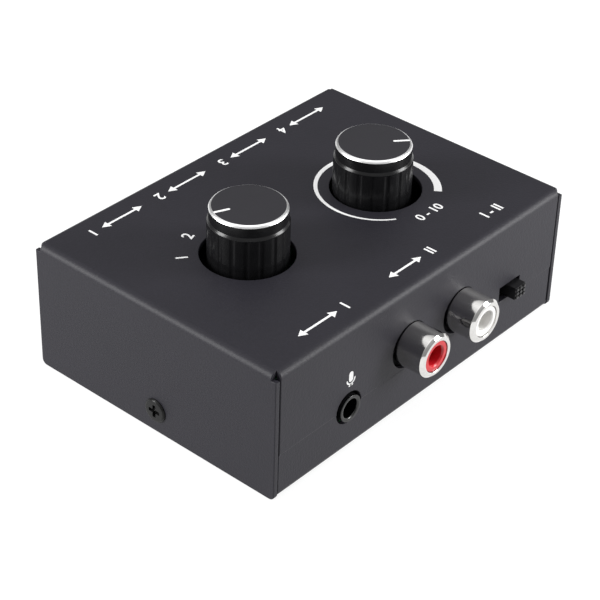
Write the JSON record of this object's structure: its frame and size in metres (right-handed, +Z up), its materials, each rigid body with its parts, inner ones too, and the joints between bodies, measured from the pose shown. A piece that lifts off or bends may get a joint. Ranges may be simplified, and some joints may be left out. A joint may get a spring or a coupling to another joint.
{
  "type": "audio source selector",
  "caption": "Small folded-metal audio switch box with a source selector knob and a volume knob on top, phono and 3.5 mm sockets at the front and back, and a slide switch.",
  "frame": {"origin": "middle of the case's underside, on the surface that it stands on", "axes": "+X to the right along the front panel, +Y to the back, +Z up through the knobs"},
  "size_m": [0.079, 0.062, 0.0353],
  "materials": {
    "powder_coat": "satin charcoal powder coat",
    "black_screw": "black",
    "black_anodised": "black anodised, with a bright cut rim",
    "black_plastic": "matte",
    "nickel": "nickel plated",
    "black_nickel": "black nickel plated",
    "steel": "brushed",
    "brass": "bright",
    "board_green": "green solder mask on glass laminate",
    "phenolic": "matte paper laminate",
    "red_plastic": "glossy",
    "white_plastic": "glossy",
    "carbon_film": "matte carbon film"
  },
  "bodies": {
    "case": {"top_cover": "powder_coat", "cover_flap_left": "powder_coat", "cover_flap_right": "powder_coat", "cover_flange_front": "powder_coat", "cover_flange_rear": "powder_coat", "base_tray": "powder_coat", "tray_flange_front": "powder_coat", "tray_flange_rear": "powder_coat", "side_screws": "black_screw", "main_board": "board_green", "board_standoffs": "brass", "board_screws": "steel", "selector_wafer": "phenolic", "selector_housing": "black_plastic", "selector_bushing": "steel", "selector_terminals": "nickel", "selector_detent_ball": "steel", "selector_detent_spring": "brass", "volume_base": "phenolic", "volume_track": "carbon_film", "volume_housing": "black_plastic", "volume_bushing": "steel", "volume_terminals": "nickel", "rca_housing": "black_plastic", "rca_shell_red": "nickel", "rca_shell_white": "nickel", "rca_insert_red": "red_plastic", "rca_insert_white": "white_plastic", "rca_contacts": "brass", "rca_terminals": "nickel", "mic_jack_body": "black_plastic", "mic_jack_sleeve": "black_nickel", "mic_jack_contacts": "brass", "switch_frame": "steel", "switch_base": "phenolic", "switch_terminals": "nickel", "rear_jack_1_body": "black_plastic", "rear_jack_1_sleeve": "black_nickel", "rear_jack_1_contacts": "brass", "rear_jack_2_body": "black_plastic", "rear_jack_2_sleeve": "black_nickel", "rear_jack_2_contacts": "brass", "rear_jack_3_body": "black_plastic", "rear_jack_3_sleeve": "black_nickel", "rear_jack_3_contacts": "brass", "rear_jack_4_body": "black_plastic", "rear_jack_4_sleeve": "black_nickel", "rear_jack_4_contacts": "brass"},
    "selector": {"selector_shaft": "steel", "selector_rotor": "brass", "selector_detent_wheel": "steel", "selector_knob": "black_anodised", "selector_knob_core": "black_plastic"},
    "volume": {"volume_shaft": "steel", "volume_wiper": "brass", "volume_knob": "black_anodised", "volume_knob_core": "black_plastic"},
    "slider": {"switch_slider": "black_plastic", "switch_contact": "brass"}
  },
  "joints": [
    {"name": "selector_turn", "type": "hinge", "parent": "case", "child": "selector", "pos_m": [-0.0158, -0.0006, 0.0188], "axis": [0, 0, -1], "range_deg": [0, 108]},
    {"name": "volume_turn", "type": "hinge", "parent": "case", "child": "volume", "pos_m": [0.015, -0.0026, 0.0188], "axis": [0, 0, -1], "range_deg": [-284, 16]},
    {"name": "switch_slide", "type": "slide", "parent": "case", "child": "slider", "axis": [1, 0, 0], "range_m": [-0.0022, 0]}
  ]
}
